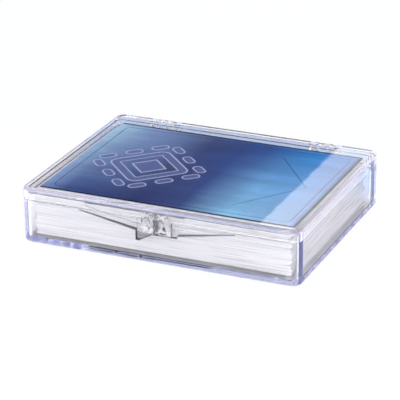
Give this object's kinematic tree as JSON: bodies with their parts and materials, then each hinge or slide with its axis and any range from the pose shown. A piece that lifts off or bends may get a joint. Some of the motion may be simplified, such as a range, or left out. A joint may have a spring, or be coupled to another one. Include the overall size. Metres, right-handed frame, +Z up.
{
  "type": "card storage case",
  "caption": "Clear hinged plastic case holding a stack of trading cards, with a snap latch and thumb dip at the front.",
  "frame": {"origin": "middle of the underside of the closed case, on the surface that it stands on", "axes": "+X along the long side, towards the right of a person who faces the latch; -Y towards the latch; +Z up"},
  "size_m": [0.0966, 0.075, 0.0191],
  "materials": {
    "clear_polystyrene_tray": "polished, transparent",
    "clear_polystyrene_lid": "polished, transparent",
    "printed_card_stock": "gloss-coated print",
    "white_card_stock": "smooth uncoated card"
  },
  "bodies": {
    "tray_body": {"base_tray": "clear_polystyrene_tray", "printed_card": "printed_card_stock", "white_card_01": "white_card_stock", "white_card_02": "white_card_stock", "white_card_03": "white_card_stock", "white_card_04": "white_card_stock", "white_card_05": "white_card_stock", "white_card_06": "white_card_stock", "white_card_07": "white_card_stock", "white_card_08": "white_card_stock", "white_card_09": "white_card_stock", "white_card_10": "white_card_stock", "white_card_11": "white_card_stock", "white_card_12": "white_card_stock", "white_card_13": "white_card_stock", "white_card_14": "white_card_stock", "white_card_15": "white_card_stock", "white_card_16": "white_card_stock", "white_card_17": "white_card_stock", "white_card_18": "white_card_stock", "white_card_19": "white_card_stock", "white_card_20": "white_card_stock", "white_card_21": "white_card_stock", "white_card_22": "white_card_stock", "white_card_23": "white_card_stock", "white_card_24": "white_card_stock", "white_card_25": "white_card_stock", "white_card_26": "white_card_stock", "white_card_27": "white_card_stock", "white_card_28": "white_card_stock", "white_card_29": "white_card_stock", "white_card_30": "white_card_stock", "white_card_31": "white_card_stock", "white_card_32": "white_card_stock", "white_card_33": "white_card_stock", "white_card_34": "white_card_stock", "white_card_35": "white_card_stock", "white_card_36": "white_card_stock", "white_card_37": "white_card_stock", "white_card_38": "white_card_stock", "white_card_39": "white_card_stock", "white_card_40": "white_card_stock", "white_card_41": "white_card_stock", "white_card_42": "white_card_stock", "white_card_43": "white_card_stock", "white_card_44": "white_card_stock", "white_card_45": "white_card_stock", "white_card_46": "white_card_stock", "white_card_47": "white_card_stock", "white_card_48": "white_card_stock", "white_card_49": "white_card_stock"},
    "lid_body": {"lid": "clear_polystyrene_lid"}
  },
  "joints": [
    {"name": "lid_hinge", "type": "hinge", "parent": "tray_body", "child": "lid_body", "pos_m": [0, 0.0359, 0.0149], "axis": [-1, 0, 0], "range_deg": [0, 110]}
  ]
}
